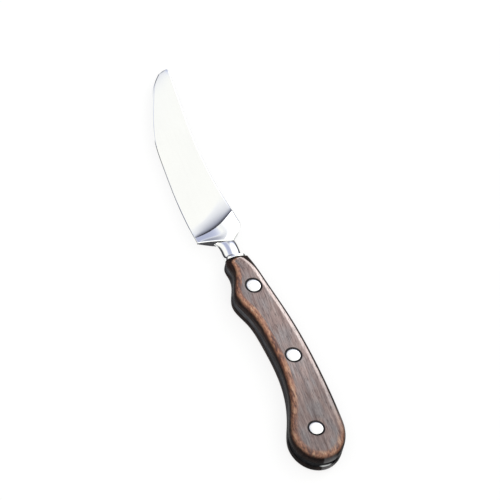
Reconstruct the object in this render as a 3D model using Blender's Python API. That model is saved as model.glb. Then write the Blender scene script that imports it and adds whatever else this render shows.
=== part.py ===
"""Riveted steak knife: a forged blade whose tang runs between two wooden handle scales.

Metres, +Z up. The knife lies on its lower scale, with +X towards the tip and +Y towards the cutting edge.
Shapes are drawn with X measured from the butt end, Y from the knife's axis and Z from the middle plane of
the blade. One empty carries them all to their place, so that the origin is under the middle of the knife.
"""
import math

import bmesh
import bpy
import numpy as np

# Lengths along the knife
HANDLE_LENGTH = 0.1135
NECK_LENGTH = 0.0112
BLADE_LENGTH = 0.0946

# Thicknesses
HANDLE_THICKNESS = 0.0124
TANG_THICKNESS = 0.0026
SPINE_THICKNESS = 0.0022
TIP_THICKNESS = 0.0013
EDGE_THICKNESS = 0.0003
HEEL_THICKNESS = 0.0011
WING_THICKNESS = 0.0030
CREST_THICKNESS = 0.0046
CREST_SIDE_THICKNESS = 0.0030

# Handle outline: a quarter ellipse round each side of the butt, then
# (share of the handle's length from the butt, offset from the knife's axis)
BUTT_OFFSET = -0.0021
SWELL_STATION = 0.0141
SWELL_OFFSET = 0.0104
BACK_STATION = 0.0185
BACK_OFFSET = -0.0160
BELLY_POINTS = (
    (0.224, 0.0072),
    (0.326, 0.0038),
    (0.476, 0.0025),
    (0.616, 0.0040),
    (0.727, 0.0068),
    (0.815, 0.0102),
    (0.885, 0.0077),
    (0.943, 0.0069),
    (0.980, 0.0076),
    (1.000, 0.0066),
)
BACK_POINTS = (
    (0.441, -0.0146),
    (0.687, -0.0109),
    (0.881, -0.0062),
    (1.000, -0.0036),
)

# Rounded edges of the handle, and the nose that slopes and rounds down to the collar
EDGE_ROUND = 0.0030
NOSE_ROUND = 0.0042
NOSE_LENGTH = 0.0120
NOSE_DROP = 0.0031
NOSE_FLAT_SHARE = 0.1

# Neck: a rim against the wood, a waist, and a longer flare into the bolster; each has its two sides, and the
# waist and the bolster end a crest from which they slope to both
COLLAR_PROUD = 0.0001
COLLAR_RIM = 0.0010
COLLAR_FLARE = 0.0016
COLLAR_SQUARENESS = 2.2
WAIST_SPINE_SIDE = -0.0020
WAIST_EDGE_SIDE = 0.0071
WAIST_CREST = 0.0026
WAIST_THICKNESS = 0.0048
SPINE_SQUARENESS = 2.6
EDGE_SQUARENESS = 1.7
BOLSTER_FLARE = 0.0070
BOLSTER_SPINE_SIDE = -0.0012
BOLSTER_EDGE_SIDE = 0.0087
BOLSTER_CREST = 0.0030
BOLSTER_THICKNESS = 0.0052
BOLSTER_STEP = 0.0004
BOLSTER_PEAK = 0.0041

# Bolster: its spine side as (distance from its rear face, offset), its rear face, and the crest where
# the hollow of the blade begins
BOLSTER_POINTS = (
    (0.0000, -0.0014),
    (0.0012, -0.0026),
    (0.0036, -0.0050),
    (0.0072, -0.0066),
    (0.0103, -0.0062),
)
HEEL_SETBACK = 0.0012
REAR_SAG = 0.0019
REAR_SKEW = 0.4
REAR_FALL = 1.8
CREST_AT_SPINE = 0.0146
CREST_AT_HEEL = 0.0039
CREST_SAG = 0.0028
CREST_PEAK = 0.35
PLUNGE_AT_SPINE = 0.0080
PLUNGE_AT_HEEL = 0.0030
PLUNGE_CURVE = 3.0

# Blade outline: (share of the blade's length from the bolster's rear face, offset from the knife's axis)
SPINE_POINTS = (
    (0.163, -0.0053),
    (0.267, -0.0034),
    (0.394, -0.0019),
    (0.584, -0.0010),
    (0.796, -0.0014),
    (1.000, -0.0021),
)
EDGE_POINTS = (
    (0.000, 0.0160),
    (0.095, 0.0169),
    (0.175, 0.0175),
    (0.290, 0.0179),
    (0.464, 0.0177),
    (0.604, 0.0170),
    (0.714, 0.0149),
    (0.833, 0.0110),
    (0.914, 0.0078),
    (0.980, 0.0033),
    (1.000, 0.0016),
)
TIP_OFFSET = -0.0008
TIP_ROUND = 0.0020
TIP_FLAT = 0.0004

# Two-part rivets, each in the middle of the handle but for its own small shift
RIVET_HEAD_DIAMETER = 0.0064
RIVET_HEAD_THICKNESS = 0.0016
RIVET_HEAD_LIP = 0.0009
RIVET_TUBE_WALL = 0.00065
FRONT_RIVET_SETBACK = 0.0182
BUTT_RIVET_SETBACK = 0.0161
FRONT_RIVET_SHIFT = -0.0007
MIDDLE_RIVET_SHIFT = 0.0009
BUTT_RIVET_SHIFT = 0.0008

# Clearances between pieces, and how far joined shapes run into each other
JOINT_GAP = 0.0003
RIVET_GAP = 0.0003
JOIN_OVERLAP = 0.0020
CUT_OVERRUN = 0.0010

# Fineness of the curves
BUTT_STEPS = 8
SIDE_STEPS = 34
ROUND_STEPS = 4
FLARE_STEPS = 4
NECK_SIDES = 28
RIVET_SIDES = 24
BLADE_COLUMNS = 13
BOLSTER_STEPS = 5
PLUNGE_STEPS = 6
BLADE_STEPS = 16
TIP_STEPS = 4
SMOOTH_ANGLE = math.radians(35)
MERGE_DISTANCE = 1e-7

# Finishes: colour, metallic value and roughness
STEEL = ((0.80, 0.80, 0.82), 1.0, 0.12)
WOOD = ((0.20, 0.12, 0.08), 0.0, 0.35)
RIVET_STEEL = ((0.82, 0.82, 0.82), 1.0, 0.20)

# Places worked out from the sizes above
HALF_HANDLE = HANDLE_THICKNESS / 2
HALF_TANG = TANG_THICKNESS / 2
SCALE_INNER = HALF_TANG + JOINT_GAP
COLLAR_START = HANDLE_LENGTH + JOINT_GAP
BOLSTER_START = HANDLE_LENGTH + NECK_LENGTH
OVERALL_LENGTH = BOLSTER_START + BLADE_LENGTH
HEAD_RADIUS = RIVET_HEAD_DIAMETER / 2
TUBE_RADIUS = HEAD_RADIUS - RIVET_HEAD_LIP
BORE_RADIUS = TUBE_RADIUS - RIVET_TUBE_WALL
POST_RADIUS = BORE_RADIUS - RIVET_GAP
HEAD_SEAT = HALF_HANDLE - RIVET_HEAD_THICKNESS


def smooth_curve(points, start_slope=None):
    """Return y(x) of the cubic spline through points; its start can be given a slope."""
    x, y = np.array(points).T
    step = np.diff(x)
    rise = np.diff(y) / step
    last = len(x) - 1
    system = np.zeros((last + 1, last + 1))
    target = np.zeros(last + 1)
    system[0, :2] = 2, 1
    target[0] = 3 * rise[0]
    system[last, last - 1:] = 1, 2
    target[last] = 3 * rise[-1]
    for i in range(1, last):
        system[i, i - 1:i + 2] = step[i], 2 * (step[i - 1] + step[i]), step[i - 1]
        target[i] = 3 * (step[i] * rise[i - 1] + step[i - 1] * rise[i])
    if start_slope is not None:
        system[0, :2] = 1, 0
        target[0] = start_slope
    slope = np.linalg.solve(system, target)

    def value(at):
        i = min(max(int(np.searchsorted(x, at)) - 1, 0), last - 1)
        t = (at - x[i]) / step[i]
        start = y[i] * (1 + 2 * t) + slope[i] * step[i] * t
        end = y[i + 1] * (3 - 2 * t) + slope[i + 1] * step[i] * (t - 1)
        return float(start * (1 - t) ** 2 + end * t ** 2)

    return value


def spread(start, end, steps):
    """Evenly spaced values from start to end, both included."""
    return [start + (end - start) * i / steps for i in range(steps + 1)]


def blend(a, b, share):
    """Value that goes from a to b as share goes from 0 to 1."""
    return a + (b - a) * share


# Handle outline

def handle_side(station, offset, points):
    """One side of the handle as y(x): a quarter ellipse round the butt, then a smooth curve to the front."""
    reach = [(station, offset)] + [(share * HANDLE_LENGTH, y) for share, y in points]
    curve = smooth_curve(reach, start_slope=0)

    def value(x):
        if x >= station:
            return curve(x)
        across = math.sqrt(1 - (1 - x / station) ** 2)
        return blend(BUTT_OFFSET, offset, across)

    return value


belly = handle_side(SWELL_STATION, SWELL_OFFSET, BELLY_POINTS)
back = handle_side(BACK_STATION, BACK_OFFSET, BACK_POINTS)
FRONT_MIDDLE = (belly(HANDLE_LENGTH) + back(HANDLE_LENGTH)) / 2
FRONT_WIDTH = belly(HANDLE_LENGTH) - back(HANDLE_LENGTH)


def nose_share(x):
    """How far a station lies down the slope of the nose, from 0 at its start to 1 at the collar."""
    return max(0.0, 1 - (HANDLE_LENGTH - x) / NOSE_LENGTH) ** 2


def round_width(x):
    """Width of the rounded edge at a station: it widens down the nose, and always leaves a flat."""
    edge = min(EDGE_ROUND, HALF_HANDLE - SCALE_INNER)
    nose = min(NOSE_ROUND, FRONT_WIDTH / 2 * (1 - NOSE_FLAT_SHARE))
    return blend(edge, nose, nose_share(x))


def side_stations(station):
    """X positions along one side of the handle, closer together round the butt."""
    turn = [station * (1 - math.cos(angle)) for angle in spread(0, math.pi / 2, BUTT_STEPS)]
    return turn + spread(station, HANDLE_LENGTH, SIDE_STEPS)[1:]


def offset_side(side, station, inward, share):
    """Points of one side of the outline, moved in square to it by a share of the rounded edge's width."""
    stations = side_stations(station)
    points = np.array([(x, side(x)) for x in stations])
    run = np.gradient(points, axis=0)
    normal = np.stack((-run[:, 1], run[:, 0]), axis=1) * inward
    normal /= np.linalg.norm(normal, axis=1)[:, None]
    normal[0] = 1, 0
    normal[-1] = 0, inward
    width = np.array([round_width(x) for x in stations])
    return points + normal * (share * width)[:, None]


def outline_loop(share=0.0):
    """Closed loop of (x, y) round the handle: along the belly to the front, then home along the back."""
    out = offset_side(belly, SWELL_STATION, -1, share)
    home = offset_side(back, BACK_STATION, 1, share)
    return np.concatenate((out, home[:0:-1]))


# Mesh helpers

def finish_object(name, mesh_data, finish=None):
    """Turn a bmesh into a named object, with outward faces and smooth shading; without a finish, a cutter."""
    bmesh.ops.remove_doubles(mesh_data, verts=mesh_data.verts, dist=MERGE_DISTANCE)
    bmesh.ops.recalc_face_normals(mesh_data, faces=mesh_data.faces)
    mesh = bpy.data.meshes.new(name)
    mesh_data.to_mesh(mesh)
    mesh_data.free()
    mesh.shade_smooth()
    mesh.set_sharp_from_angle(angle=SMOOTH_ANGLE)
    piece = bpy.data.objects.new(name, mesh)
    bpy.context.scene.collection.objects.link(piece)
    if finish is None:
        piece.hide_render = True
        piece.display_type = "WIRE"
    else:
        mesh.materials.append(make_material(name, *finish))
    return piece


def make_material(name, color, metallic, roughness):
    """Principled material for one piece."""
    material = bpy.data.materials.new(name)
    material.use_nodes = True
    shader = material.node_tree.nodes["Principled BSDF"]
    shader.inputs["Base Color"].default_value = (*color, 1)
    shader.inputs["Metallic"].default_value = metallic
    shader.inputs["Roughness"].default_value = roughness
    return material


def add_loops(mesh_data, rings):
    """Add rings of vertices, each joined to the next by a band of faces."""
    loops = [[mesh_data.verts.new(point) for point in ring] for ring in rings]
    for lower, upper in zip(loops, loops[1:]):
        for i in range(len(lower)):
            j = (i + 1) % len(lower)
            mesh_data.faces.new((lower[i], lower[j], upper[j], upper[i]))
    return loops


def lofted(name, rings, finish=None):
    """Closed solid through a row of rings, with a flat cap on the first and last."""
    mesh_data = bmesh.new()
    loops = add_loops(mesh_data, rings)
    mesh_data.faces.new(loops[0])
    mesh_data.faces.new(loops[-1])
    return finish_object(name, mesh_data, finish)


def turned(name, x, y, profile, finish=None):
    """Solid of revolution about a vertical axis at (x, y), from a profile of (radius, z)."""
    angles = spread(0, 2 * math.pi, RIVET_SIDES)[:-1]
    rings = []
    for radius, z in profile:
        rings.append([(x + radius * math.cos(a), y + radius * math.sin(a), z) for a in angles])
    return lofted(name, rings, finish)


def add_boolean(piece, other, operation):
    """Cut another shape out of a piece, or join it on."""
    modifier = piece.modifiers.new(operation.lower() + "_" + other.name, "BOOLEAN")
    modifier.operation = operation
    modifier.solver = "EXACT"
    modifier.object = other


# Handle scales

def scale_height(x, height):
    """Height over the middle plane, lowered towards the collar by the slope of the nose."""
    kept = 1 - NOSE_DROP / (HALF_HANDLE - SCALE_INNER) * nose_share(x)
    return SCALE_INNER + (height - SCALE_INNER) * kept


def handle_scale(name, side, holes):
    """One wooden slab, flat against the tang, with its outer edge rounded; side is 1 above and -1 below."""
    fall = min(EDGE_ROUND, HALF_HANDLE - SCALE_INNER)
    levels = [(0.0, SCALE_INNER)]
    for angle in spread(0, math.pi / 2, ROUND_STEPS):
        levels.append((1 - math.cos(angle), HALF_HANDLE - fall * (1 - math.sin(angle))))
    rings = []
    for share, height in levels:
        rings.append([(x, y, side * scale_height(x, height)) for x, y in outline_loop(share)])
    mesh_data = bmesh.new()
    loops = add_loops(mesh_data, rings)
    mesh_data.faces.new(loops[0])
    outer = loops[-1]
    count = len(outer)
    mesh_data.faces.new((outer[0], outer[1], outer[-1]))
    for i in range(1, count // 2):
        mesh_data.faces.new((outer[i], outer[i + 1], outer[count - i - 1], outer[count - i]))
    piece = finish_object(name, mesh_data, WOOD)
    for hole in holes:
        add_boolean(piece, hole, "DIFFERENCE")


# Rivets

def rivet_places():
    """Name and (x, y) of each rivet."""
    front = HANDLE_LENGTH - FRONT_RIVET_SETBACK
    butt = BUTT_RIVET_SETBACK
    rows = (
        ("front", front, FRONT_RIVET_SHIFT),
        ("middle", (front + butt) / 2, MIDDLE_RIVET_SHIFT),
        ("butt", butt, BUTT_RIVET_SHIFT),
    )
    return [(name, x, (belly(x) + back(x)) / 2 + shift) for name, x, shift in rows]


def rivet_hole(name, x, y):
    """Cutter for one rivet: a through hole, with a counterbore for the head at each end."""
    hole = TUBE_RADIUS + RIVET_GAP
    seat = HEAD_RADIUS + RIVET_GAP
    floor = HEAD_SEAT - RIVET_GAP
    top = HALF_HANDLE + CUT_OVERRUN
    profile = ((seat, -top), (seat, -floor), (hole, -floor), (hole, floor), (seat, floor), (seat, top))
    return turned("rivet_hole_" + name, x, y, profile)


def rivet_post(name, x, y):
    """Solid half: head in the lower scale, post up into the tube."""
    profile = (
        (HEAD_RADIUS, -HALF_HANDLE),
        (HEAD_RADIUS, -HEAD_SEAT),
        (POST_RADIUS, -HEAD_SEAT),
        (POST_RADIUS, HEAD_SEAT - RIVET_GAP),
    )
    turned("rivet_post_" + name, x, y, profile, RIVET_STEEL)


def rivet_tube(name, x, y):
    """Hollow half: head in the upper scale, tube down over the post."""
    mouth = RIVET_GAP - HEAD_SEAT
    profile = (
        (HEAD_RADIUS, HALF_HANDLE),
        (HEAD_RADIUS, HEAD_SEAT),
        (TUBE_RADIUS, HEAD_SEAT),
        (TUBE_RADIUS, mouth),
        (BORE_RADIUS, mouth),
        (BORE_RADIUS, HEAD_SEAT),
    )
    turned("rivet_tube_" + name, x, y, profile, RIVET_STEEL)


# Forged blade

def tang_form():
    """Flat plate of the handle's outline."""
    outline = outline_loop()
    rings = [[(x, y, z) for x, y in outline] for z in (-HALF_TANG, HALF_TANG)]
    return lofted("tang_form", rings)


def oval(x, spine_side, edge_side, crest, thickness, spine_squareness, edge_squareness):
    """Ring across the neck, highest at its crest; each side is elliptic at a squareness of 2, squarer above."""
    ring = []
    for angle in spread(0, 2 * math.pi, NECK_SIDES)[:-1]:
        across = math.cos(angle)
        height = math.sin(angle)
        half_width = edge_side - crest if across > 0 else crest - spine_side
        squareness = edge_squareness if across > 0 else spine_squareness
        reach = (abs(across) ** squareness + abs(height) ** squareness) ** (-1 / squareness)
        ring.append((x, crest + half_width * reach * across, thickness / 2 * reach * height))
    return ring


def neck_form():
    """Neck from the tang to the bolster, with a flared collar against the wood."""
    spine_end = FRONT_MIDDLE - FRONT_WIDTH / 2
    edge_end = FRONT_MIDDLE + FRONT_WIDTH / 2
    end_squareness = (COLLAR_SQUARENESS, COLLAR_SQUARENESS)
    root_sides = (spine_end + JOINT_GAP, edge_end - JOINT_GAP, FRONT_MIDDLE)
    root = np.array((*root_sides, TANG_THICKNESS - 2 * JOINT_GAP, *end_squareness))
    collar_sides = (spine_end - COLLAR_PROUD, edge_end + COLLAR_PROUD, FRONT_MIDDLE)
    collar_thickness = HANDLE_THICKNESS - 2 * NOSE_DROP + 2 * COLLAR_PROUD
    collar = np.array((*collar_sides, collar_thickness, *end_squareness))
    neck_squareness = (SPINE_SQUARENESS, EDGE_SQUARENESS)
    waist_sides = (WAIST_SPINE_SIDE, WAIST_EDGE_SIDE, WAIST_CREST)
    waist = np.array((*waist_sides, WAIST_THICKNESS, *neck_squareness))
    front_sides = (BOLSTER_SPINE_SIDE, BOLSTER_EDGE_SIDE, BOLSTER_CREST)
    front = np.array((*front_sides, BOLSTER_THICKNESS - 2 * BOLSTER_STEP, *neck_squareness))
    rim_end = COLLAR_START + COLLAR_RIM
    front_start = BOLSTER_START - REAR_SAG / 2
    turns = spread(0, math.pi / 2, FLARE_STEPS)
    rings = [
        oval(HANDLE_LENGTH - JOIN_OVERLAP, *root),
        oval(COLLAR_START, *root),
        oval(COLLAR_START, *collar),
    ]
    for turn in turns:
        x = rim_end + COLLAR_FLARE * (1 - math.cos(turn))
        rings.append(oval(x, *blend(collar, waist, math.sin(turn))))
    for turn in turns:
        x = front_start - BOLSTER_FLARE * (1 - math.sin(turn))
        rings.append(oval(x, *blend(front, waist, math.cos(turn))))
    rings.append(oval(BOLSTER_START, *front))
    rings.append(oval(BOLSTER_START + JOIN_OVERLAP, *front))
    return lofted("neck_form", rings)


def blade_sides():
    """Spine and edge of the blade as y(distance from the bolster's rear), drawn together round the tip."""
    spine_reach = list(BOLSTER_POINTS) + [(share * BLADE_LENGTH, y) for share, y in SPINE_POINTS]
    edge_reach = [(share * BLADE_LENGTH, y) for share, y in EDGE_POINTS]

    def closed(curve):
        def side(distance):
            beyond = max(0.0, 1 - (BLADE_LENGTH - distance) / TIP_ROUND)
            return blend(TIP_OFFSET, curve(distance), math.sqrt(1 - beyond ** 2))
        return side

    return closed(smooth_curve(spine_reach)), closed(smooth_curve(edge_reach))


def rear_thickness(share, neck_share):
    """Thickness of the bolster's rear face: thickest at the neck, thinner towards the spine and the heel."""
    if share < neck_share:
        return blend(BOLSTER_THICKNESS, WING_THICKNESS, (1 - share / neck_share) ** REAR_FALL)
    return blend(BOLSTER_THICKNESS, HEEL_THICKNESS, ((share - neck_share) / (1 - neck_share)) ** REAR_FALL)


def blade_rings():
    """Rings of points across the knife, from the bolster's rear face to the tip."""
    spine_side, edge_side = blade_sides()
    columns = [(1 - math.cos(angle)) / 2 for angle in spread(0, math.pi, BLADE_COLUMNS - 1)]

    def ring(at_spine, at_edge, sags, thicknesses):
        """One ring, over the upper face and back under the lower one; sags bow it towards the butt."""
        start = np.array((BOLSTER_START + at_spine, spine_side(at_spine)))
        end = np.array((BOLSTER_START + at_edge, edge_side(at_edge)))
        upper = []
        for share, sag, thickness in zip(columns, sags, thicknesses):
            x, y = blend(start, end, share)
            upper.append((x - sag, y, thickness / 2))
        return upper + [(x, y, -z) for x, y, z in reversed(upper)]

    def ground(distance):
        """Thickness of the blade's flat taper from spine to edge."""
        at_spine = blend(SPINE_THICKNESS, TIP_THICKNESS, distance / BLADE_LENGTH)
        return np.array([blend(at_spine, EDGE_THICKNESS, share) for share in columns])

    neck_share = (BOLSTER_PEAK - spine_side(0)) / (edge_side(HEEL_SETBACK) - spine_side(0))
    rear = np.array([rear_thickness(share, neck_share) for share in columns])
    crest_points = ((0, CREST_SIDE_THICKNESS), (CREST_PEAK, CREST_THICKNESS), (1, HEEL_THICKNESS))
    crest_curve = smooth_curve(crest_points)
    crest = np.array([crest_curve(share) for share in columns])
    rear_sag = np.array([REAR_SAG * math.sin(math.pi * share ** REAR_SKEW) for share in columns])
    crest_sag = np.array([CREST_SAG * math.sin(math.pi * share) for share in columns])
    plunge_spine = CREST_AT_SPINE + PLUNGE_AT_SPINE
    plunge_edge = CREST_AT_HEEL + PLUNGE_AT_HEEL
    tip_start = BLADE_LENGTH - TIP_ROUND

    rings = []
    for step in spread(0, 1, BOLSTER_STEPS):
        at_edge = blend(HEEL_SETBACK, CREST_AT_HEEL, step)
        sags = blend(rear_sag, crest_sag, step)
        rings.append(ring(CREST_AT_SPINE * step, at_edge, sags, blend(rear, crest, step)))
    for step in spread(0, 1, PLUNGE_STEPS)[1:]:
        at_spine = blend(CREST_AT_SPINE, plunge_spine, step)
        at_edge = blend(CREST_AT_HEEL, plunge_edge, step)
        hollow = blend(ground(at_spine), crest, (1 - step) ** PLUNGE_CURVE)
        rings.append(ring(at_spine, at_edge, crest_sag, hollow))
    for step in spread(0, 1, BLADE_STEPS)[1:]:
        at_spine = blend(plunge_spine, tip_start, step)
        at_edge = blend(plunge_edge, tip_start, step)
        rings.append(ring(at_spine, at_edge, crest_sag * (1 - step) ** 2, ground(at_spine)))
    for turn in spread(0, math.acos(TIP_FLAT / (2 * TIP_ROUND)), TIP_STEPS)[1:]:
        reach = tip_start + TIP_ROUND * math.sin(turn)
        rings.append(ring(reach, reach, np.zeros(BLADE_COLUMNS), ground(reach)))
    return rings


def forged_blade(holes):
    """Blade, bolster, neck, collar and tang in one piece, with the rivet holes through the tang."""
    piece = lofted("forged_blade", blade_rings(), STEEL)
    add_boolean(piece, neck_form(), "UNION")
    add_boolean(piece, tang_form(), "UNION")
    for hole in holes:
        add_boolean(piece, hole, "DIFFERENCE")
    return piece


# Assembly

def build():
    """Make every piece and set the knife down over the origin."""
    for existing in list(bpy.data.objects):
        bpy.data.objects.remove(existing)
    holes = []
    for name, x, y in rivet_places():
        holes.append(rivet_hole(name, x, y))
        rivet_post(name, x, y)
        rivet_tube(name, x, y)
    handle_scale("handle_scale_upper", 1, holes)
    handle_scale("handle_scale_lower", -1, holes)
    blade = forged_blade(holes)
    reach = max(vertex.co.y for vertex in blade.data.vertices)
    pieces = list(bpy.data.objects)
    frame = bpy.data.objects.new("knife_frame", None)
    bpy.context.scene.collection.objects.link(frame)
    frame.location = (-OVERALL_LENGTH / 2, -(reach + BACK_OFFSET) / 2, HALF_HANDLE)
    for piece in pieces:
        piece.parent = frame


build()
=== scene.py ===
"""Looks of the riveted steak knife: polished steel, lacquered wood and flush rivets on a pale floor.

Every piece is drawn again with fine curves in the drawing frame of the solids, in metres: X from the butt
end, Y from the knife's axis towards the cutting edge and Z from the middle plane of the blade.
"""
import math

import bmesh
import bpy
import numpy as np
from mathutils import Matrix, Vector
from mathutils.kdtree import KDTree


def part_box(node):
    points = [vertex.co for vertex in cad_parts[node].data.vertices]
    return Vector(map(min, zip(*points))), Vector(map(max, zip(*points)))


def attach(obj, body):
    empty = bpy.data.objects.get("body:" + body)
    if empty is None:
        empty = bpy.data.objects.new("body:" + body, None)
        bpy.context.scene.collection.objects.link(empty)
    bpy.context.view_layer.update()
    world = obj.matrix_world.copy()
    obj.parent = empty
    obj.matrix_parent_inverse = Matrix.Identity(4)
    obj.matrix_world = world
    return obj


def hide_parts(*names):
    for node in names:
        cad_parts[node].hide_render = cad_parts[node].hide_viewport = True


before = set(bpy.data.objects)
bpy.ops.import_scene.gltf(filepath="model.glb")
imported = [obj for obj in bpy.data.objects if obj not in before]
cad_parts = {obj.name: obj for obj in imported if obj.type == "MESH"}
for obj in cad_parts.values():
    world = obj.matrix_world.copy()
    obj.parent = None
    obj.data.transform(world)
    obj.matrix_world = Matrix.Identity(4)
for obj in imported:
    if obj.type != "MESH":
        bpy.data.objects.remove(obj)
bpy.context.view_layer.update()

# Sizes and places read from the frame
SCALE_LOW, SCALE_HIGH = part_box("handle_scale_upper")
STEEL_LOW, STEEL_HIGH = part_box("forged_blade")
REST_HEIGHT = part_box("handle_scale_lower")[0].z
HANDLE_LENGTH = SCALE_HIGH.x - SCALE_LOW.x
HALF_HANDLE = (SCALE_HIGH.z - REST_HEIGHT) / 2
OVERALL_LENGTH = STEEL_HIGH.x - STEEL_LOW.x

# Lengths and thicknesses, as in the solids
NECK_LENGTH = 0.0112
TANG_THICKNESS = 0.0026
SPINE_THICKNESS = 0.0022
TIP_THICKNESS = 0.0013
HEEL_THICKNESS = 0.0011
WING_THICKNESS = 0.0030
CREST_THICKNESS = 0.0046
CREST_SIDE_THICKNESS = 0.0030

# Handle outline: a quarter ellipse round each side of the butt, then
# (share of the handle's length from the butt, offset from the knife's axis)
BUTT_OFFSET = -0.0021
SWELL_STATION = 0.0141
SWELL_OFFSET = 0.0104
BACK_STATION = 0.0185
BACK_OFFSET = -0.0160
BELLY_POINTS = (
    (0.224, 0.0072),
    (0.326, 0.0038),
    (0.476, 0.0025),
    (0.616, 0.0040),
    (0.727, 0.0068),
    (0.815, 0.0102),
    (0.885, 0.0077),
    (0.943, 0.0069),
    (0.980, 0.0076),
    (1.000, 0.0066),
)
BACK_POINTS = (
    (0.441, -0.0146),
    (0.687, -0.0109),
    (0.881, -0.0062),
    (1.000, -0.0036),
)

# Rounded edges of the handle, and the nose that slopes and rounds down to the collar; where the face's rings
# move in by a margin, the front of the nose moves by a share of it and steps back by another
EDGE_ROUND = 0.0030
NOSE_ROUND = 0.0042
NOSE_LENGTH = 0.0120
NOSE_DROP = 0.0031
NOSE_FACE_SHARE = 0.1
FRONT_STEP = 0.02
FACE_MARGIN = 0.0030

# Neck: a rim against the wood with a flare that is longest on the edge side, a waist, and a longer flare into
# the bolster; each has its two sides, and the waist and the bolster end have a crest that slopes to both
COLLAR_GAP = 0.0003
COLLAR_PROUD = 0.0001
COLLAR_RIM = 0.0010
COLLAR_FLARE = 0.0006
EDGE_FLARE = 0.0030
COLLAR_SQUARENESS = 2.2
WAIST_SPINE_SIDE = -0.0020
WAIST_EDGE_SIDE = 0.0071
WAIST_CREST = 0.0026
WAIST_THICKNESS = 0.0048
SPINE_SQUARENESS = 2.2
EDGE_SQUARENESS = 1.7
ROOT_INSET = 0.0003
BOLSTER_FLARE = 0.0058
BOLSTER_SPINE_SIDE = -0.0012
BOLSTER_EDGE_SIDE = 0.0087
BOLSTER_CREST = 0.0030
BOLSTER_THICKNESS = 0.0052
BOLSTER_STEP = 0.0007

# Bolster: its spine side as (distance from its rear face, offset), its rear face, and its crest
BOLSTER_POINTS = (
    (0.0000, -0.0014),
    (0.0012, -0.0026),
    (0.0036, -0.0050),
    (0.0072, -0.0066),
    (0.0103, -0.0062),
)
BOLSTER_PEAK = 0.0041
REAR_FALL = 1.8
HEEL_SETBACK = 0.0012
REAR_SAG = 0.0019
REAR_SKEW = 0.4
CREST_AT_SPINE = 0.0146
CREST_AT_HEEL = 0.0039
CREST_SAG = 0.0028
CREST_PEAK = 0.35

# Hollow from the crest to the flat blade: its lengths, the share of it that falls steeply, and the powers
# by which that share and the soft rest run out
PLUNGE_AT_SPINE = 0.0110
PLUNGE_AT_HEEL = 0.0060
PLUNGE_STEEP_SHARE = 0.44
PLUNGE_STEEP_AT_SPINE = 18
PLUNGE_STEEP_AT_HEEL = 9
PLUNGE_SOFT = 1.8

# Blade outline: (share of the blade's length from the bolster's rear face, offset from the knife's axis)
SPINE_POINTS = (
    (0.163, -0.0053),
    (0.267, -0.0034),
    (0.394, -0.0019),
    (0.584, -0.0010),
    (0.796, -0.0014),
    (1.000, -0.0021),
)
EDGE_POINTS = (
    (0.000, 0.0160),
    (0.095, 0.0169),
    (0.175, 0.0175),
    (0.290, 0.0179),
    (0.464, 0.0177),
    (0.604, 0.0170),
    (0.714, 0.0149),
    (0.833, 0.0110),
    (0.914, 0.0078),
    (0.980, 0.0033),
    (1.000, 0.0016),
)
TIP_OFFSET = -0.0008
TIP_ROUND = 0.0020
TIP_FLAT = 0.0004

# Rivets: heads let into the wood, with a dark countersunk rim round each
HEAD_THICKNESS = 0.0016
HEAD_LIP = 0.0009
HEAD_EASE = 0.00018
HEAD_DOME = 0.00005
TUBE_WALL = 0.00065
FIT_GAP = 0.00012
POST_GAP = 0.00036
RIM_WIDTH = 0.00078
RIM_DEPTH = 0.00045

# Small roundings that the solids leave out; a share caps one by the half thickness of its face
SPINE_EASE = 0.00080
SPINE_EASE_SHARE = 0.6
EDGE_EASE = 0.00040
REAR_EASE = 0.00030
REAR_EASE_SHARE = 0.35
SCALE_EASE = 0.00015
TANG_EASE = 0.00010
COLLAR_EASE = 0.00018

# Bevel of the edge as (share of the blade's length, width), and the thickness behind it and at the edge
BEVEL_WIDTHS = ((0.58, 0.00020), (0.70, 0.00070), (0.90, 0.00070), (0.95, 0.00040))
EDGE_THICKNESS = 0.0005
KEEN_THICKNESS = 0.00006

# Glue line between wood and tang, and depth of the end grain at the front of the wood
GLUE_LINE = 0.00006
END_GRAIN = 0.0010

# How far joined shapes run into each other, and cutters past what they cut
JOIN_OVERLAP = 0.0020
CUT_OVERRUN = 0.0010

# Fineness of the curves, the share of the bolster at which a last ring keeps its crest crisp, and the share
# of a rivet's face that its innermost ring takes
BUTT_STEPS = 60
SIDE_STEPS = 240
ROUND_STEPS = 16
FACE_STEPS = 6
EASE_STEPS = 4
FLARE_STEPS = 18
NECK_SIDES = 128
RIVET_SIDES = 96
HEAD_STEPS = 7
HEAD_MIDDLE = 0.05
BLADE_COLUMNS = 73
BOLSTER_STEPS = 22
CREST_LEAD = 0.995
PLUNGE_STEPS = 44
PLUNGE_SPACING = 1.7
BLADE_STEPS = 110
TIP_STEPS = 16
SMOOTH_ANGLE = math.radians(32)

# Places worked out from the sizes above
HALF_TANG = TANG_THICKNESS / 2
SCALE_INNER = HALF_TANG + GLUE_LINE
COLLAR_START = HANDLE_LENGTH + COLLAR_GAP
BOLSTER_START = HANDLE_LENGTH + NECK_LENGTH
BLADE_LENGTH = OVERALL_LENGTH - BOLSTER_START
HOLLOW_END_AT_SPINE = CREST_AT_SPINE + PLUNGE_AT_SPINE
HOLLOW_END_AT_EDGE = CREST_AT_HEEL + PLUNGE_AT_HEEL
HEAD_SEAT = HALF_HANDLE - HEAD_THICKNESS
DRAWING_ORIGIN = Vector((SCALE_LOW.x, SCALE_LOW.y - BACK_OFFSET, REST_HEIGHT + HALF_HANDLE))

# Angles round the neck, shares across the blade from spine to edge, and how far its crest is bowed at these
NECK_ANGLES = np.linspace(0, 2 * math.pi, NECK_SIDES, endpoint=False)
COLUMNS = (1 - np.cos(np.linspace(0, math.pi, BLADE_COLUMNS))) / 2
CREST_SAGS = CREST_SAG * np.sin(math.pi * COLUMNS)

# Places of the two finishes in the blade's list of materials
POLISHED = 0
DULL = 1

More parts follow.
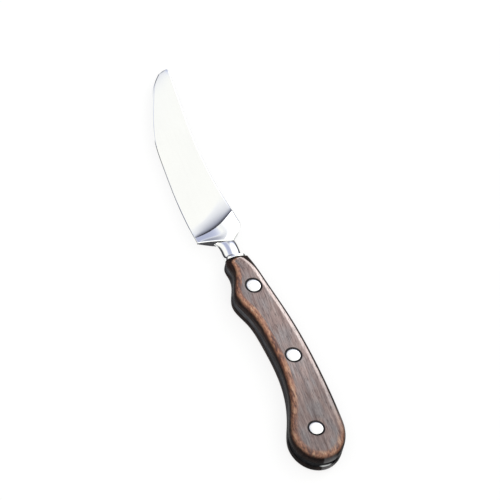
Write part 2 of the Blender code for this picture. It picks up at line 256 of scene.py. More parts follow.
# Camera: the photograph's view, from far off with a long lens
CAMERA_TARGET = Vector((0.0079, -0.0075, 0.0062))
CAMERA_AZIMUTH = math.radians(237)
CAMERA_ELEVATION = math.radians(54)
CAMERA_ROLL = math.radians(17)
CAMERA_DISTANCE = 9.33
CAMERA_LENS = 1498

# Light: a white tent over a grey horizon, which is darker past the tip; heights are sines of the elevation,
# and angles go from where a change begins to where it is complete
TENT_LEVEL = 1.10
TENT_COLOR = (1, 0.995, 0.965)
HORIZON_HEIGHTS = (0.32, 0.50)
HORIZON_COLOR = (0.32, 0.33, 0.345)
FAR_COLOR = (0.05, 0.05, 0.055)
FAR_DIRECTION = (0.99, -0.15, 0.0)
FAR_ANGLES = (math.radians(75), math.radians(60))

# Openings of the tent: a violet one overhead, a dark one low on the edge side and a dark one low past the
# tip; an opening only darkens the tent, but within the shares of its angle given last it has its own colour
VIOLET_DIRECTION = (0.493, 0.037, 0.869)
VIOLET_ANGLES = (math.radians(15.5), math.radians(6))
VIOLET_COLORS = ((1, 1, 1), (0.74, 0.77, 0.89), (0.55, 0.58, 0.74), (0.46, 0.49, 0.65))
SIDE_DIRECTION = (0.52, 0.84, 0.15)
SIDE_ANGLES = (math.radians(30), math.radians(19))
SIDE_COLORS = ((1, 1, 1), (0.05, 0.05, 0.06))
TIP_DIRECTION = (0.95, -0.31, 0.09)
TIP_ANGLES = (math.radians(50), math.radians(4))
TIP_COLORS = (
    (1.0, 1.0, 1.0),
    (0.76, 0.77, 0.82),
    (0.42, 0.435, 0.51),
    (0.27, 0.28, 0.34),
    (0.16, 0.165, 0.21),
    (0.07, 0.07, 0.09),
    (0.0, 0.0, 0.005),
)
OPENING_CORE = (0.75, 0.58)

# Soft lamps in the tent: a strip on the back's side, and a broad key on the side of the camera
STRIP_LEVEL = 2.2
STRIP_DIRECTION = (0.41, -0.62, 0.67)
STRIP_ANGLES = (math.radians(22), math.radians(8))
KEY_LEVEL = 1.1
KEY_DIRECTION = (-0.60, 0.30, 0.74)
KEY_ANGLES = (math.radians(40), math.radians(18))

# Floor
FLOOR_SIZE = 40.0
FLOOR_COLOR = (0.97, 0.97, 0.97)
FLOOR_GLOW = 0.80

# Noises of the materials: (repeats per metre along X, Y and Z), detail
POLISH_LINES = ((25, 2600, 2600), 3)
POLISH_CLOUDS = ((60, 60, 60), 2)
DULL_LINES = ((120, 900, 2600), 3)
FIBRES = ((110, 1700, 1700), 3)
STREAKS = ((28, 520, 520), 3)
BANDS = ((14, 150, 150), 2)
FLECKS = ((330, 900, 900), 2)
PORES = ((300, 4200, 4200), 1)
HUES = ((70, 260, 260), 2)

# Values of a noise between which colours and finishes change
NOISE_MIDDLE = 0.5
FINISH_RANGE = (0.30, 0.70)
STEEL_RANGE = (0.35, 0.65)
FACE_RANGE = (0.36, 0.64)
GRAIN_RANGE = (0.38, 0.62)
SPECKLE_RANGE = (0.40, 0.60)
PORE_RANGE = (0.58, 0.66)

# Steel: polished, dull with painted shade in its colour and a dark colour at grazing angles, and turned in
# rings on the rivets
STEEL_COLORS = ((0.865, 0.875, 0.870), (0.895, 0.905, 0.895))
STEEL_ROUGHNESS = (0.06, 0.09)
SHADED_DULL_COLORS = ((0.060, 0.060, 0.064), (0.125, 0.125, 0.132))
SHADED_DULL_GRAZING = (0.3, 0.3, 0.3, 1)
DULL_ROUGHNESS = (0.28, 0.42)
RIVET_COLORS = ((0.80, 0.80, 0.81), (0.86, 0.86, 0.86))
RIVET_ROUGHNESS = (0.10, 0.16)
RING_PITCH = 0.00022

# Painted glint on the butt end of the tang, and the stations over which painted shade darkens its edge
# towards the butt
GLINT_COLOR = (0.62, 0.64, 0.63, 1)
GLINT_BACK_SIDE = (-0.0058, -0.0038)
GLINT_BELLY_SIDE = (-0.0012, 0.0010)
GLINT_HEIGHTS = (-0.0006, 0.0004)
GLINT_STATIONS = (0.0012, 0.0022)
TANG_SHADE = 0.25
TANG_STATIONS = (0.004, 0.030)

# Wood: shares of its grain's tone, colours from the darkest to the lightest streak, and the dark of its pores
# and of the rims round the rivets, which fades over shares of the rim's width
FIBRE_SHARE = 0.48
STREAK_SHARE = 0.30
BAND_SHARE = 0.22
# The face is the wood's brown, greyed and lightened in part by painted sheen of the lacquer
FACE_COLORS = ((0.168, 0.127, 0.126), (0.292, 0.236, 0.232), (0.420, 0.360, 0.353))
FACE_TINTS = ((1.0, 0.915, 0.875), (0.92, 0.98, 1.0))
EDGE_COLORS = ((0.110, 0.040, 0.026), (0.310, 0.135, 0.080), (0.480, 0.235, 0.140), (0.640, 0.400, 0.270))
# Painted highlight: pale colours of the back's rounded edge
BACK_HIGHLIGHT_COLORS = ((0.700, 0.560, 0.530), (0.880, 0.750, 0.720), (0.950, 0.850, 0.830))
# Painted shade: near-black colours of the flanks
FLANK_COLORS = ((0.007, 0.005, 0.005), (0.018, 0.011, 0.010), (0.038, 0.023, 0.020))
DARK_COLOR = (0.008, 0.006, 0.007, 1)
PORE_STRENGTH = 0.6
RIM_FADE = (0.9, 1.15)

# How far the colours of the rounded edges fade into the face: along the back, where the colour is a painted
# highlight, the belly, and its butt half
BACK_FADE = 0.0008
FRONT_FADE = 0.0005
BUTT_FADE = 0.0018
FADE_START = 0.038
FADE_CHANGE = 0.012

# How much faster the rounded edge's turn grows down the nose
NOSE_REACH = 1.6

# Turns over which the belly's edge colour sets in and raggedly gives way to the flank's, sooner at the front
RAGGEDNESS = 0.8
BELLY_EDGE = (-0.8, 0.6)
BELLY_FLANK = (0.28, 0.74)
FRONT_SHIFT = 0.07
SHIFT_STATIONS = (0.085, 0.091)

# The same turns on the back, where the change is clean, and the strength of the painted highlight on its
# edge, fainter near the butt
BACK_HIGHLIGHT_TURNS = (-0.9, 0.06)
BACK_FLANK = (0.21, 0.33)
BACK_HIGHLIGHT_STRENGTH = (0.40, 1.0)
BACK_HIGHLIGHT_STATIONS = (0.015, 0.105)

# Darkening of the butt half of the wood, more painted shade on its flanks there, and where it gives way to
# the full colour
BUTT_SHADE = 0.70
FLANK_SHADE = 0.45
SHADE_STATIONS = (0.026, 0.050)

# Lacquer: its gloss, what is left of it on the flanks, a glossy patch on the butt end, its roughness, which
# grows over some turns of the rounded edge, and the relief of the grain
LACQUER_GLOSS = 0.25
FLANK_GLOSS = 0.03
PATCH_GLOSS = 0.60
PATCH_BACK_SIDE = (-0.0078, -0.0050)
PATCH_BELLY_SIDE = (-0.0012, -0.0004)
PATCH_STATIONS = (0.004, 0.006)
LACQUER_ROUGHNESS = (0.36, 0.26)
ROUGHER_TURNS = (0.5, 0.8)
ROUGHER = 0.10
RELIEF_STRENGTH = 0.25
RELIEF_HEIGHT = 0.00004


# Curves

def smooth_curve(points, start_slope=None):
    """Return y(x) of the cubic spline through points; its start can be given a slope."""
    x, y = np.array(points).T
    step = np.diff(x)
    rise = np.diff(y) / step
    last = len(x) - 1
    system = np.zeros((last + 1, last + 1))
    target = np.zeros(last + 1)
    system[0, :2] = 2, 1
    target[0] = 3 * rise[0]
    system[last, last - 1:] = 1, 2
    target[last] = 3 * rise[-1]
    for i in range(1, last):
        system[i, i - 1:i + 2] = step[i], 2 * (step[i - 1] + step[i]), step[i - 1]
        target[i] = 3 * (step[i] * rise[i - 1] + step[i - 1] * rise[i])
    if start_slope is not None:
        system[0, :2] = 1, 0
        target[0] = start_slope
    slope = np.linalg.solve(system, target)

    def value(at):
        i = np.clip(np.searchsorted(x, at) - 1, 0, last - 1)
        t = (at - x[i]) / step[i]
        start = y[i] * (1 + 2 * t) + slope[i] * step[i] * t
        end = y[i + 1] * (3 - 2 * t) + slope[i + 1] * step[i] * (t - 1)
        return start * (1 - t) ** 2 + end * t ** 2

    return value


def blend(a, b, share):
    """Value that goes from a to b as share goes from 0 to 1."""
    return a + (b - a) * share


def eased(distance, radius):
    """How far a rounded edge of that radius has fallen at a distance from the edge."""
    inside = np.clip(1 - distance / radius, 0, 1)
    return radius * (1 - np.sqrt(1 - inside ** 2))


def quarter_turn(steps):
    """Angles from 0 to a right angle, in equal steps."""
    return np.linspace(0, math.pi / 2, steps + 1)


# Handle outline

def handle_side(station, offset, points):
    """One side of the handle as y(x): a quarter ellipse round the butt, then a smooth curve to the front."""
    reach = [(station, offset)] + [(share * HANDLE_LENGTH, y) for share, y in points]
    curve = smooth_curve(reach, start_slope=0)

    def value(x):
        across = np.sqrt(1 - np.clip(1 - x / station, 0, 1) ** 2)
        return np.where(x >= station, curve(x), blend(BUTT_OFFSET, offset, across))

    return value


belly = handle_side(SWELL_STATION, SWELL_OFFSET, BELLY_POINTS)
back = handle_side(BACK_STATION, BACK_OFFSET, BACK_POINTS)
FRONT_MIDDLE = float(belly(HANDLE_LENGTH) + back(HANDLE_LENGTH)) / 2
FRONT_WIDTH = float(belly(HANDLE_LENGTH) - back(HANDLE_LENGTH))


def nose_share(x):
    """How far a station lies down the slope of the nose, from 0 at its start to 1 at the collar."""
    return np.clip(1 - (HANDLE_LENGTH - x) / NOSE_LENGTH, 0, None) ** 2


def round_width(x):
    """Width of the rounded edge at a station: it widens down the nose."""
    return blend(EDGE_ROUND, NOSE_ROUND, nose_share(x))


def offset_side(side, station, inward, share, beyond):
    """Points of one side of the outline, moved in square to it by a share of the rounded edge's width.

    beyond moves them further in, over the flat face, but less so where the nose leaves little of it.
    """
    turn = station * (1 - np.cos(quarter_turn(BUTT_STEPS)))
    stations = np.concatenate((turn, np.linspace(station, HANDLE_LENGTH, SIDE_STEPS + 1)[1:]))
    points = np.stack((stations, side(stations)), axis=1)
    run = np.gradient(points, axis=0)
    normal = np.stack((-run[:, 1], run[:, 0]), axis=1) * inward
    normal /= np.linalg.norm(normal, axis=1)[:, None]
    normal[0] = 1, 0
    normal[-1] = 0, inward
    inset = share * round_width(stations) + beyond * blend(1, NOSE_FACE_SHARE, nose_share(stations))
    moved = points + normal * inset[:, None]
    moved[-1, 0] -= FRONT_STEP * beyond
    return moved


def outline_loop(share=0.0, beyond=0.0):
    """Closed loop of (x, y) round the handle: along the belly to the front, then home along the back."""
    out = offset_side(belly, SWELL_STATION, -1, share, beyond)
    home = offset_side(back, BACK_STATION, 1, share, beyond)
    return np.concatenate((out, home[:0:-1]))


# Mesh helpers

def band_faces(rows, count):
    """Faces that join each ring of points to the next."""
    faces = []
    for row in range(rows - 1):
        for i in range(count):
            j = (i + 1) % count
            low = row * count
            high = low + count
            faces.append((low + i, low + j, high + j, high + i))
    return faces


def outline_cap(first, count):
    """Faces across a ring that starts at the butt: a triangle there, then strips from side to side."""
    faces = [(first, first + 1, first + count - 1)]
    for i in range(1, count // 2):
        faces.append((first + i, first + i + 1, first + count - i - 1, first + count - i))
    return faces


def blade_cap(first, count):
    """Faces across a ring that runs over the upper side and back under the lower one."""
    faces = []
    for i in range(count // 2 - 1):
        faces.append((first + i, first + i + 1, first + count - 2 - i, first + count - 1 - i))
    return faces


def round_cap(first, count):
    """One face across a flat ring."""
    return [tuple(range(first, first + count))]


def lofted(name, rings, cap, materials=(), side_index=0, start_index=0):
    """Closed object through a row of rings, with a cap on the first and last, faces outward.

    The indexes say which of the materials the sides and the first cap take.
    """
    count = len(rings[0])
    last = (len(rings) - 1) * count
    sides = band_faces(len(rings), count) + cap(last, count)
    start = cap(0, count)
    mesh = bpy.data.meshes.new(name)
    mesh.from_pydata(np.concatenate(rings).tolist(), [], sides + start)
    for material in materials:
        mesh.materials.append(material)
    indexes = [side_index] * len(sides) + [start_index] * len(start)
    mesh.polygons.foreach_set("material_index", indexes)
    mesh_data = bmesh.new()
    mesh_data.from_mesh(mesh)
    bmesh.ops.recalc_face_normals(mesh_data, faces=mesh_data.faces)
    mesh_data.to_mesh(mesh)
    mesh_data.free()
    piece = bpy.data.objects.new(name, mesh)
    bpy.context.scene.collection.objects.link(piece)
    return piece


def turned(name, profile, materials=()):
    """Closed solid of revolution about its own vertical axis, from a profile of (radius, z)."""
    angles = np.linspace(0, 2 * math.pi, RIVET_SIDES, endpoint=False)
    rings = []
    for radius, z in profile:
        flat = np.full(RIVET_SIDES, z)
        rings.append(np.stack((radius * np.cos(angles), radius * np.sin(angles), flat), axis=1))
    return lofted(name, rings, round_cap, materials)


def carve(piece, *steps):
    """Apply a row of (operation, other objects) to a piece and delete the others."""
    used = []
    for operation, others in steps:
        for other in others:
            modifier = piece.modifiers.new(other.name, "BOOLEAN")
            modifier.operation = operation
            modifier.solver = "EXACT"
            modifier.object = other
            used.append(other)
    result = piece.evaluated_get(bpy.context.evaluated_depsgraph_get())
    rough = piece.data
    piece.data = bpy.data.meshes.new_from_object(result)
    piece.modifiers.clear()
    bpy.data.meshes.remove(rough)
    for other in used:
        bpy.data.objects.remove(other)


def set_piece(piece, node):
    """Finish a piece: place it, shade it, hide its node and hang it on the root."""
    piece.location = DRAWING_ORIGIN + piece.location
    piece.data.shade_smooth()
    piece.data.set_sharp_from_angle(angle=SMOOTH_ANGLE)
    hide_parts(node)
    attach(piece, "root")


# Rivets

def rivet_rows():
    """Name, place in the drawing frame and head radius of each rivet, read from the frame."""
    rows = []
    for name in ("front", "middle", "butt"):
        low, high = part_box("rivet_tube_" + name)
        place = (low + high) / 2 - DRAWING_ORIGIN
        rows.append((name, Vector((place.x, place.y, 0)), (high.x - low.x) / 2))
    return rows


def rivet_holes(rivets):
    """Cutters for the rivets: a through hole, a seat for each head, and a countersunk rim at each end."""
    cutters = []
    for name, place, radius in rivets:
        seat = radius + FIT_GAP
        hole = radius - HEAD_LIP + FIT_GAP
        rim = seat + RIM_WIDTH
        floor = HEAD_SEAT - FIT_GAP
        over = RIM_WIDTH / RIM_DEPTH * CUT_OVERRUN
        top = [
            (hole, floor),
            (seat, floor),
            (seat, HALF_HANDLE - RIM_DEPTH),
            (rim + over, HALF_HANDLE + CUT_OVERRUN),
        ]
        bottom = [(r, -z) for r, z in reversed(top)]
        cutter = turned("hole_" + name, bottom + top)
        cutter.location = place
        cutters.append(cutter)
    return cutters


def head_profile(radius, side):
    """Profile of one head from the middle of its face to its underside, domed and eased."""
    profile = []
    rim = radius - HEAD_EASE
    for r in np.linspace(HEAD_MIDDLE, 1, HEAD_STEPS) * rim:
        profile.append((r, side * (HALF_HANDLE - HEAD_DOME * (r / rim) ** 2)))
    for turn in quarter_turn(EASE_STEPS)[1:]:
        fall = HEAD_DOME + HEAD_EASE * (1 - math.cos(turn))
        profile.append((rim + HEAD_EASE * math.sin(turn), side * (HALF_HANDLE - fall)))
    profile.append((radius, side * HEAD_SEAT))
    return profile


def add_rivet(name, place, radius, steel):
    """Both halves of one rivet: the tube with the upper head, and the post with the lower one."""
    tube = radius - HEAD_LIP
    bore = tube - TUBE_WALL
    post = bore - FIT_GAP
    mouth = FIT_GAP - HEAD_SEAT
    shank = [(tube, HEAD_SEAT), (tube, mouth), (bore, mouth), (bore, HEAD_SEAT - FIT_GAP)]
    upper = turned("tube_head_" + name, head_profile(radius, 1) + shank, [steel])
    upper.location = place
    set_piece(upper, "rivet_tube_" + name)
    stem = [(post, -HEAD_SEAT), (post, HEAD_SEAT - POST_GAP)]
    lower = turned("post_head_" + name, head_profile(radius, -1) + stem, [steel])
    lower.location = place
    set_piece(lower, "rivet_post_" + name)


# Handle scales

def nose_kept(x):
    """Share of a scale's thickness that the slope of the nose leaves at a station."""
    return 1 - NOSE_DROP / (HALF_HANDLE - SCALE_INNER) * nose_share(x)


def distance_to_outline(x, y):
    """Distance of each point from the handle's outline, seen from above."""
    outline = outline_loop()
    tree = KDTree(len(outline))
    for i, (along, across) in enumerate(outline):
        tree.insert((along, across, 0), i)
    tree.balance()
    return np.array([tree.find((along, across, 0))[2] for along, across in zip(x, y)])


def mark_wood(mesh):
    """Store two values at each point of a scale, for its colours.

    turn is 0 where the rounded edge begins and 1 where it is upright and on the end grain; it grows faster
    down the nose, and on the face it falls to -1 over the width in which the edge's colour fades out.
    back is 1 along the back of the handle, and 0 on its belly side and round the butt.
    """
    points = np.zeros(len(mesh.vertices) * 3)
    mesh.vertices.foreach_get("co", points)
    x, y, z = points.reshape(-1, 3).T
    height = SCALE_INNER + (np.abs(z) - SCALE_INNER) / nose_kept(x)
    fall = np.clip((HALF_HANDLE - height) / EDGE_ROUND, 0, 1)
    turn = (1 - np.arcsin(1 - fall) / (math.pi / 2)) * (1 + NOSE_REACH * nose_share(x))
    past_butt = np.clip((x - BACK_STATION / 2) / BACK_STATION, 0, 1)
    on_back = (y < (belly(x) + back(x)) / 2) * past_butt
    fade = blend(BUTT_FADE, FRONT_FADE, np.clip((x - FADE_START) / FADE_CHANGE, 0, 1))
    fade = blend(fade, BACK_FADE, on_back)
    turn -= np.clip((distance_to_outline(x, y) - round_width(x)) / fade, 0, 1)
    turn = np.where(x > HANDLE_LENGTH - END_GRAIN, 1, turn)
    for name, values in (("turn", turn), ("back", on_back)):
        attribute = mesh.attributes.new(name, "FLOAT", "POINT")
        attribute.data.foreach_set("value", values.astype(np.float32))


def add_scale(name, node, side, rivets, wood):
    """One wooden slab with its outer edge rounded, its inner edge eased and its rivet seats cut."""
    levels = []
    for turn in quarter_turn(EASE_STEPS):
        inset = SCALE_EASE / EDGE_ROUND * (1 - math.sin(turn))
        levels.append((inset, SCALE_INNER + SCALE_EASE * (1 - math.cos(turn))))
    for turn in quarter_turn(ROUND_STEPS):
        levels.append((1 - math.cos(turn), HALF_HANDLE - EDGE_ROUND * (1 - math.sin(turn))))
    loops = [(outline_loop(share), height) for share, height in levels]
    for step in range(1, FACE_STEPS + 1):
        loops.append((outline_loop(1, FACE_MARGIN * step / FACE_STEPS), HALF_HANDLE))
    rings = []
    for loop, height in loops:
        lowered = SCALE_INNER + (height - SCALE_INNER) * nose_kept(loop[:, 0])
        rings.append(np.column_stack((loop, side * lowered)))
    piece = lofted(name, rings, outline_cap, [wood])
    carve(piece, ("DIFFERENCE", rivet_holes(rivets)))
    mark_wood(piece.data)
    set_piece(piece, node)


# Tang and neck

def tang_form(materials):
    """Flat plate of the handle's outline, with eased edges."""
    levels = []
    for turn in quarter_turn(EASE_STEPS):
        inset = TANG_EASE / EDGE_ROUND * (1 - math.sin(turn))
        levels.append((inset, HALF_TANG - TANG_EASE * (1 - math.cos(turn))))
    levels += [(inset, -height) for inset, height in reversed(levels)]
    rings = []
    for share, height in levels:
        loop = outline_loop(share)
        rings.append(np.column_stack((loop, np.full(len(loop), height))))
    return lofted("tang_form", rings, outline_cap, materials, DULL, DULL)


def oval(x, spine_side, edge_side, crest, thickness, spine_squareness, edge_squareness):
    """Ring across the neck, highest at its crest; a side is elliptic at a squareness of 2, squarer above."""
    across = np.cos(NECK_ANGLES)
    height = np.sin(NECK_ANGLES)
    half_width = np.where(across > 0, edge_side - crest, crest - spine_side)
    squareness = np.where(across > 0, edge_squareness, spine_squareness)
    reach = (np.abs(across) ** squareness + np.abs(height) ** squareness) ** (-1 / squareness)
    y = crest + half_width * reach * across
    return np.stack((np.broadcast_to(x, NECK_SIDES), y, thickness / 2 * reach * height), axis=1)


def neck_sections():
    """Sides, crest, thickness and squareness of the neck at its root, collar and waist and at the bolster."""
    spine_end = FRONT_MIDDLE - FRONT_WIDTH / 2
    edge_end = FRONT_MIDDLE + FRONT_WIDTH / 2
    end_squareness = (COLLAR_SQUARENESS, COLLAR_SQUARENESS)
    neck_squareness = (SPINE_SQUARENESS, EDGE_SQUARENESS)
    root_sides = (spine_end + ROOT_INSET, edge_end - ROOT_INSET, FRONT_MIDDLE)
    root = np.array((*root_sides, TANG_THICKNESS - 2 * ROOT_INSET, *end_squareness))
    collar_sides = (spine_end - COLLAR_PROUD, edge_end + COLLAR_PROUD, FRONT_MIDDLE)
    collar = np.array((*collar_sides, 2 * (HALF_HANDLE - NOSE_DROP + COLLAR_PROUD), *end_squareness))
    waist = np.array((WAIST_SPINE_SIDE, WAIST_EDGE_SIDE, WAIST_CREST, WAIST_THICKNESS, *neck_squareness))
    front_sides = (BOLSTER_SPINE_SIDE, BOLSTER_EDGE_SIDE, BOLSTER_CREST)
    front = np.array((*front_sides, BOLSTER_THICKNESS - 2 * BOLSTER_STEP, *neck_squareness))
    return root, collar, waist, front


def neck_form(materials):
    """Neck from the tang to the bolster, with a flared collar against the wood."""
    root, collar, waist, front = neck_sections()
    # The collar's edge is eased on both sides and in its thickness
    shrink = COLLAR_EASE * np.array((-1, 1, 0, 2, 0, 0))
    rings = [
        oval(HANDLE_LENGTH - JOIN_OVERLAP, *root),
        oval(COLLAR_START, *root),
    ]
    for turn in quarter_turn(EASE_STEPS):
        x = COLLAR_START + COLLAR_EASE * (1 - math.cos(turn))
        rings.append(oval(x, *(collar - shrink * (1 - math.sin(turn)))))
    flare = blend(COLLAR_FLARE, EDGE_FLARE, np.clip(np.cos(NECK_ANGLES), 0, 1))
    for turn in quarter_turn(FLARE_STEPS):
        x = COLLAR_START + COLLAR_RIM + flare * (1 - math.cos(turn))
        rings.append(oval(x, *blend(collar, waist, math.sin(turn))))
    for turn in quarter_turn(FLARE_STEPS):
        x = BOLSTER_START - REAR_SAG / 2 - BOLSTER_FLARE * (1 - math.sin(turn))
        rings.append(oval(x, *blend(front, waist, math.cos(turn))))
    rings.append(oval(BOLSTER_START, *front))
    rings.append(oval(BOLSTER_START + JOIN_OVERLAP, *front))
    return lofted("neck_form", rings, round_cap, materials)


# Bolster and blade

def blade_sides():
    """Spine and edge of the blade as y(distance from the bolster's rear), drawn together round the tip."""
    spine_reach = list(BOLSTER_POINTS) + [(share * BLADE_LENGTH, y) for share, y in SPINE_POINTS]
    edge_reach = [(share * BLADE_LENGTH, y) for share, y in EDGE_POINTS]

    def closed(curve):
        def side(distance):
            beyond = max(0.0, 1 - (BLADE_LENGTH - distance) / TIP_ROUND)
            return blend(TIP_OFFSET, float(curve(distance)), math.sqrt(1 - beyond ** 2))
        return side

    return closed(smooth_curve(spine_reach)), closed(smooth_curve(edge_reach))


blade_spine, blade_edge = blade_sides()


def blade_ring(at_spine, at_edge, sags, thicknesses, keenness):
    """Ring across the knife, over the upper face and back under the lower one, in columns from spine to edge.

    sags bow it towards the butt, and its edge goes from eased to sharp as keenness goes from 0 to 1.
    """
    start = np.array((BOLSTER_START + at_spine, blade_spine(at_spine)))
    end = np.array((BOLSTER_START + at_edge, blade_edge(at_edge)))
    width = np.linalg.norm(end - start)
    from_edge = (1 - COLUMNS) * width
    spine_ease = min(SPINE_EASE, SPINE_EASE_SHARE * thicknesses[0] / 2)
    height = thicknesses / 2 - eased(COLUMNS * width, spine_ease)
    bevel_width = np.interp(at_edge / BLADE_LENGTH, *np.array(BEVEL_WIDTHS).T)
    bevel = blend(KEEN_THICKNESS, EDGE_THICKNESS, from_edge / bevel_width) / 2
    sharp = np.minimum(height, bevel)
    blunt = height - eased(from_edge, EDGE_EASE)
    flat = blend(start, end, COLUMNS[:, None])
    upper = np.column_stack((flat[:, 0] - sags, flat[:, 1], blend(blunt, sharp, keenness)))
    return np.concatenate((upper, upper[::-1] * (1, 1, -1)))


def rear_thickness():
    """Thickness of the bolster's rear face: thickest at the neck, thinner towards the spine and the heel."""
    middle = (BOLSTER_PEAK - blade_spine(0)) / (blade_edge(HEEL_SETBACK) - blade_spine(0))
    to_spine = np.clip(1 - COLUMNS / middle, 0, 1) ** REAR_FALL
    to_heel = np.clip((COLUMNS - middle) / (1 - middle), 0, 1) ** REAR_FALL
    spine_part = blend(BOLSTER_THICKNESS, WING_THICKNESS, to_spine)
    heel_part = blend(BOLSTER_THICKNESS, HEEL_THICKNESS, to_heel)
    return np.where(COLUMNS < middle, spine_part, heel_part)


def crest_thickness():
    """Thickness of the bolster along its crest."""
    points = ((0, CREST_SIDE_THICKNESS), (CREST_PEAK, CREST_THICKNESS), (1, HEEL_THICKNESS))
    return smooth_curve(points)(COLUMNS)


def ground_thickness(distance):
    """Thickness of the flat blade, which tapers from spine to edge and towards the tip."""
    at_spine = blend(SPINE_THICKNESS, TIP_THICKNESS, distance / BLADE_LENGTH)
    return blend(at_spine, EDGE_THICKNESS, COLUMNS)


def bolster_rings():
    """Rings from the eased rear face of the bolster to its crest."""
    rear = rear_thickness()
    crest = crest_thickness()
    rear_sags = REAR_SAG * np.sin(math.pi * COLUMNS ** REAR_SKEW)
    ease = np.minimum(REAR_EASE, REAR_EASE_SHARE * rear / 2)
    rings = []
    for turn in quarter_turn(EASE_STEPS)[:-1]:
        inset = ease * (1 - math.cos(turn))
        fall = ease * (1 - math.sin(turn))
        rings.append(blade_ring(0, HEEL_SETBACK, rear_sags - inset, rear - 2 * fall, 0))
    for step in np.append(np.linspace(0, 1, BOLSTER_STEPS + 1)[:-1], (CREST_LEAD, 1)):
        at_edge = blend(HEEL_SETBACK, CREST_AT_HEEL, step)
        sags = blend(rear_sags - ease, CREST_SAGS, step)
        rings.append(blade_ring(CREST_AT_SPINE * step, at_edge, sags, blend(rear, crest, step), 0))
    return rings


def hollow_rings():
    """Rings of the hollow, in which the thickness falls from the crest's to the flat blade's."""
    crest = crest_thickness()
    steepness = blend(PLUNGE_STEEP_AT_SPINE, PLUNGE_STEEP_AT_HEEL, COLUMNS)
    rings = []
    for step in np.linspace(0, 1, PLUNGE_STEPS + 1)[1:] ** PLUNGE_SPACING:
        at_spine = blend(CREST_AT_SPINE, HOLLOW_END_AT_SPINE, step)
        at_edge = blend(CREST_AT_HEEL, HOLLOW_END_AT_EDGE, step)
        kept = blend((1 - step) ** PLUNGE_SOFT, (1 - step) ** steepness, PLUNGE_STEEP_SHARE)
        thicknesses = blend(ground_thickness(at_spine), crest, kept)
        rings.append(blade_ring(at_spine, at_edge, CREST_SAGS, thicknesses, step))
    return rings


def flat_rings():
    """Rings of the flat blade and its rounded tip."""
    tip_start = BLADE_LENGTH - TIP_ROUND
    rings = []
    for step in np.linspace(0, 1, BLADE_STEPS + 1)[1:]:
        at_spine = blend(HOLLOW_END_AT_SPINE, tip_start, step)
        at_edge = blend(HOLLOW_END_AT_EDGE, tip_start, step)
        sags = CREST_SAGS * (1 - step) ** 2
        rings.append(blade_ring(at_spine, at_edge, sags, ground_thickness(at_spine), 1))
    for turn in np.linspace(0, math.acos(TIP_FLAT / (2 * TIP_ROUND)), TIP_STEPS + 1)[1:]:
        reach = tip_start + TIP_ROUND * math.sin(turn)
        rings.append(blade_ring(reach, reach, np.zeros(BLADE_COLUMNS), ground_thickness(reach), 1))
    return rings


def add_blade(rivets, materials):
    """Blade, bolster, neck, collar and tang in one piece; the tang and the heel's rear face are left dull and
    darkened with painted shade.
    """
    rings = bolster_rings() + hollow_rings() + flat_rings()
    piece = lofted("polished_blade", rings, blade_cap, materials, POLISHED, DULL)
    joined = [neck_form(materials), tang_form(materials)]
    carve(piece, ("UNION", joined), ("DIFFERENCE", rivet_holes(rivets)))
    set_piece(piece, "forged_blade")


# Material helpers

def add_node(tree, kind, inputs=(), **settings):
    """Add a node; an input given as a socket is linked, any other value is set."""
    made = tree.nodes.new(kind)
    for name, value in settings.items():
        setattr(made, name, value)
    for key, value in dict(inputs).items():
        if isinstance(value, bpy.types.NodeSocket):
            tree.links.new(value, made.inputs[key])
        else:
            made.inputs[key].default_value = value
    return made


def new_material(name):
    """Material with an empty node tree but for its shader; returns it with both."""
    material = bpy.data.materials.new(name)
    material.use_nodes = True
    tree = material.node_tree
    return material, tree, tree.nodes["Principled BSDF"]


def place_on_piece(tree):
    """Place of a point in its piece's own frame."""
    return add_node(tree, "ShaderNodeTexCoord").outputs["Object"]


def place_from_above(tree):
    """Place of a point in its piece's own frame, without its height."""
    inputs = {0: place_on_piece(tree), 1: (1, 1, 0)}
    return add_node(tree, "ShaderNodeVectorMath", inputs, operation="MULTIPLY").outputs[0]


def split_place(tree):
    """X, Y and Z of a point in its piece's own frame."""
    return add_node(tree, "ShaderNodeSeparateXYZ", {0: place_on_piece(tree)}).outputs


def stored(tree, name):
    """Value stored at the mesh's points under a name."""
    return add_node(tree, "ShaderNodeAttribute", attribute_name=name).outputs["Fac"]


def stretched_noise(tree, scales, detail):
    """Noise drawn out along the knife: scales are repeats per metre along X, Y and Z."""
    inputs = {0: place_on_piece(tree), 1: scales}
    scaled = add_node(tree, "ShaderNodeVectorMath", inputs, operation="MULTIPLY").outputs[0]
    inputs = {"Vector": scaled, "Scale": 1.0, "Detail": detail}
    return add_node(tree, "ShaderNodeTexNoise", inputs).outputs["Fac"]


def ramp(tree, value, colors, low, high):
    """Colour that runs through a row of colours as the value goes from low to high."""
    made = add_node(tree, "ShaderNodeValToRGB", {"Fac": value})
    elements = made.color_ramp.elements
    elements[0].position = low
    elements[1].position = high
    for i in range(1, len(colors) - 1):
        elements.new(blend(low, high, i / (len(colors) - 1)))
    for element, color in zip(elements, colors):
        element.color = (*color, 1)
    return made.outputs["Color"]


def smooth_step(tree, value, low, high, start=0.0, end=1.0):
    """Value eased from start to end as the input goes from low to high."""
    inputs = {"Value": value, "From Min": low, "From Max": high, "To Min": start, "To Max": end}
    made = add_node(tree, "ShaderNodeMapRange", inputs, interpolation_type="SMOOTHSTEP")
    return made.outputs["Result"]


def math_node(tree, operation, *values):
    """Result of one sum on sockets or numbers."""
    return add_node(tree, "ShaderNodeMath", dict(enumerate(values)), operation=operation).outputs[0]


def average(tree, a, b):
    """Mean of two values."""
    return math_node(tree, "MULTIPLY", math_node(tree, "ADD", a, b), 0.5)


def mix_colors(tree, share, a, b, blend_type="MIX"):
    """Colour between a and b, or a blended with b; a mix node has its colours at these sockets."""
    inputs = {0: share, 6: a, 7: b}
    return add_node(tree, "ShaderNodeMix", inputs, data_type="RGBA", blend_type=blend_type).outputs[2]


def multiplied(tree, color, factor):
    """Colour times a factor or another colour."""
    return mix_colors(tree, 1.0, color, factor, "MULTIPLY")


